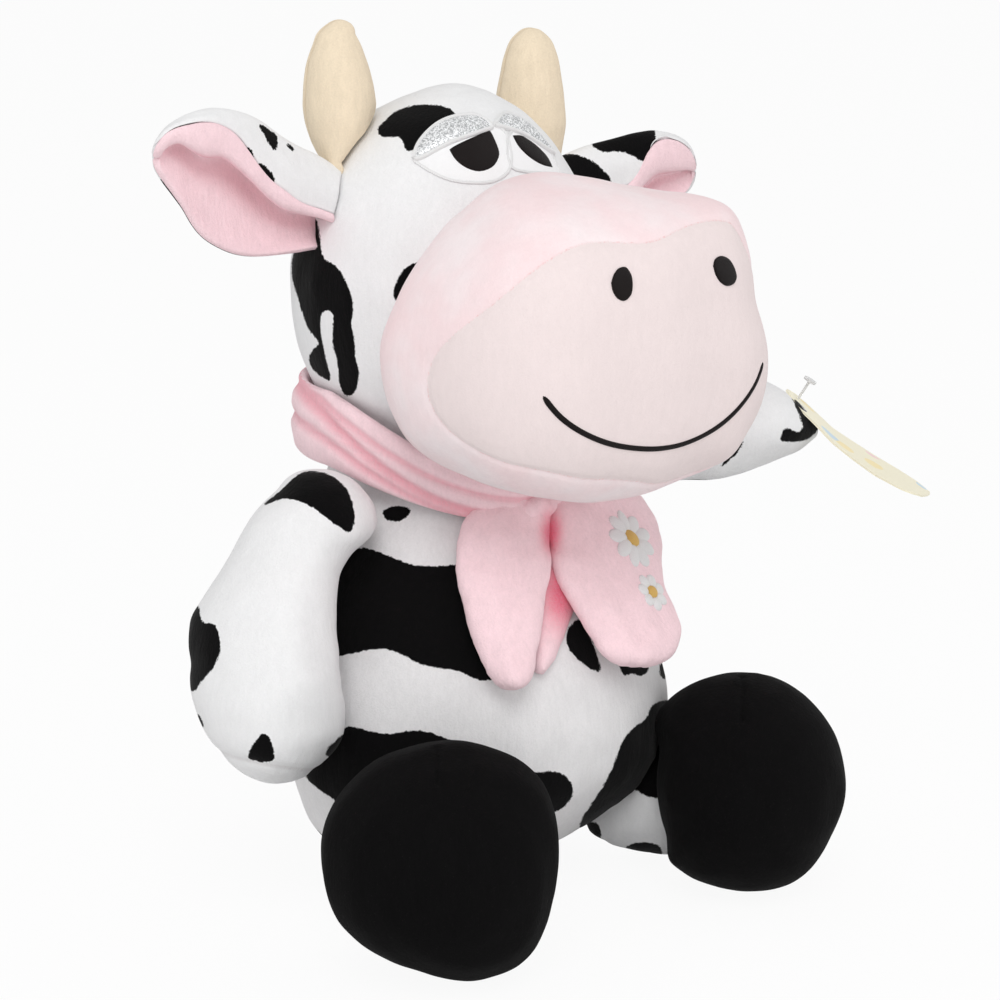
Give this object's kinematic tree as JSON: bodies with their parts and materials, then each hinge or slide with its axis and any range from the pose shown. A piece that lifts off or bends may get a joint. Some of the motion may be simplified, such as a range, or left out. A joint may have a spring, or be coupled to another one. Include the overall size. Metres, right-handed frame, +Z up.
{
  "type": "plush cow",
  "caption": "Seated stuffed cow with a large muzzle, horns, a tied scarf and a hang tag; head, limbs, ears, tail, scarf ends and tag each turn.",
  "frame": {"origin": "middle of the flat place under the torso's seat, on the surface that the cow sits on", "axes": "+Z up, the cow looks along -Y, its left side is +X"},
  "size_m": [0.3465, 0.2092, 0.3575],
  "materials": {
    "white_plush": "short smooth pile",
    "black_plush": "short smooth pile",
    "pale_pink_plush": "short smooth pile",
    "pink_plush": "short smooth pile",
    "beige_plush": "short smooth pile",
    "fibre_filling": "loose polyester fibre",
    "dark_thread": "satin stitch",
    "glitter_fabric": "silver glitter",
    "tag_card": "coated card",
    "clear_plastic": "translucent moulded pin"
  },
  "bodies": {
    "torso": {"body_skin": "white_plush", "body_filling": "fibre_filling", "scarf_band": "pink_plush", "scarf_knot": "pink_plush"},
    "head": {"head_skin": "white_plush", "head_filling": "fibre_filling", "muzzle_gusset": "pale_pink_plush", "muzzle_front": "pale_pink_plush", "muzzle_filling": "fibre_filling", "horn_right": "beige_plush", "horn_left": "beige_plush", "eye_white_right": "white_plush", "eye_white_left": "white_plush", "pupil_right": "dark_thread", "pupil_left": "dark_thread", "eyelid_right": "glitter_fabric", "eyelid_left": "glitter_fabric", "nostril_right": "dark_thread", "nostril_left": "dark_thread", "mouth": "dark_thread"},
    "ear_right": {"ear_back_right": "white_plush", "ear_lining_right": "pink_plush"},
    "ear_left": {"ear_back_left": "white_plush", "ear_lining_left": "pink_plush"},
    "arm_right": {"arm_skin_right": "white_plush", "arm_end_right": "white_plush", "arm_filling_right": "fibre_filling"},
    "arm_left": {"arm_skin_left": "white_plush", "arm_end_left": "white_plush", "arm_filling_left": "fibre_filling", "tag_pin": "clear_plastic"},
    "tag": {"hang_tag": "tag_card"},
    "leg_right": {"leg_skin_right": "white_plush", "foot_skin_right": "black_plush", "leg_filling_right": "fibre_filling"},
    "leg_left": {"leg_skin_left": "white_plush", "foot_skin_left": "black_plush", "leg_filling_left": "fibre_filling"},
    "scarf_end_right": {"scarf_tail_right": "pink_plush"},
    "scarf_end_left": {"scarf_tail_left": "pink_plush", "scarf_motif": "white_plush"},
    "tail": {"tail": "white_plush", "tail_tuft": "black_plush"}
  },
  "joints": [
    {"name": "head_nod", "type": "hinge", "parent": "torso", "child": "head", "pos_m": [0, 0.009, 0.238], "axis": [-1, 0, 0], "range_deg": [-4, 6], "stiffness_Nm_per_rad": 6},
    {"name": "ear_right_flap", "type": "hinge", "parent": "head", "child": "ear_right", "pos_m": [-0.06171, 0.012, 0.285], "axis": [0.309, 0, 0.9511], "range_deg": [-25, 25], "stiffness_Nm_per_rad": 0.05},
    {"name": "ear_left_flap", "type": "hinge", "parent": "head", "child": "ear_left", "pos_m": [0.06464, 0.012, 0.277], "axis": [-0.1392, 0, 0.9903], "range_deg": [-25, 25], "stiffness_Nm_per_rad": 0.05},
    {"name": "arm_right_raise", "type": "hinge", "parent": "torso", "child": "arm_right", "pos_m": [-0.082, -0.014, 0.16], "axis": [0, 1, 0], "range_deg": [0, 85], "stiffness_Nm_per_rad": 0.3},
    {"name": "arm_left_lower", "type": "hinge", "parent": "torso", "child": "arm_left", "pos_m": [0.082, -0.014, 0.16], "axis": [0.0872, 0.9962, 0], "range_deg": [-8, 50], "stiffness_Nm_per_rad": 1},
    {"name": "tag_swing", "type": "hinge", "parent": "arm_left", "child": "tag", "pos_m": [0.16771, -0.02785, 0.1896], "axis": [-0.8467, -0.5073, 0.1603], "range_deg": [0, 10]},
    {"name": "leg_right_splay", "type": "hinge", "parent": "torso", "child": "leg_right", "pos_m": [-0.066, -0.046, 0.03], "axis": [0, 0, -1], "range_deg": [0, 15], "stiffness_Nm_per_rad": 0.5},
    {"name": "leg_left_splay", "type": "hinge", "parent": "torso", "child": "leg_left", "pos_m": [0.066, -0.046, 0.03], "axis": [0, 0, 1], "range_deg": [0, 15], "stiffness_Nm_per_rad": 0.5},
    {"name": "scarf_right_lift", "type": "hinge", "parent": "torso", "child": "scarf_end_right", "pos_m": [-0.00891, -0.06123, 0.15294], "axis": [-1, 0, 0], "range_deg": [0, 40]},
    {"name": "scarf_left_lift", "type": "hinge", "parent": "torso", "child": "scarf_end_left", "pos_m": [0.00891, -0.06123, 0.15294], "axis": [-1, 0, 0], "range_deg": [0, 40]},
    {"name": "tail_lift", "type": "hinge", "parent": "torso", "child": "tail", "pos_m": [0, 0.0608, 0.07], "axis": [1, 0, 0], "range_deg": [0, 70]}
  ]
}
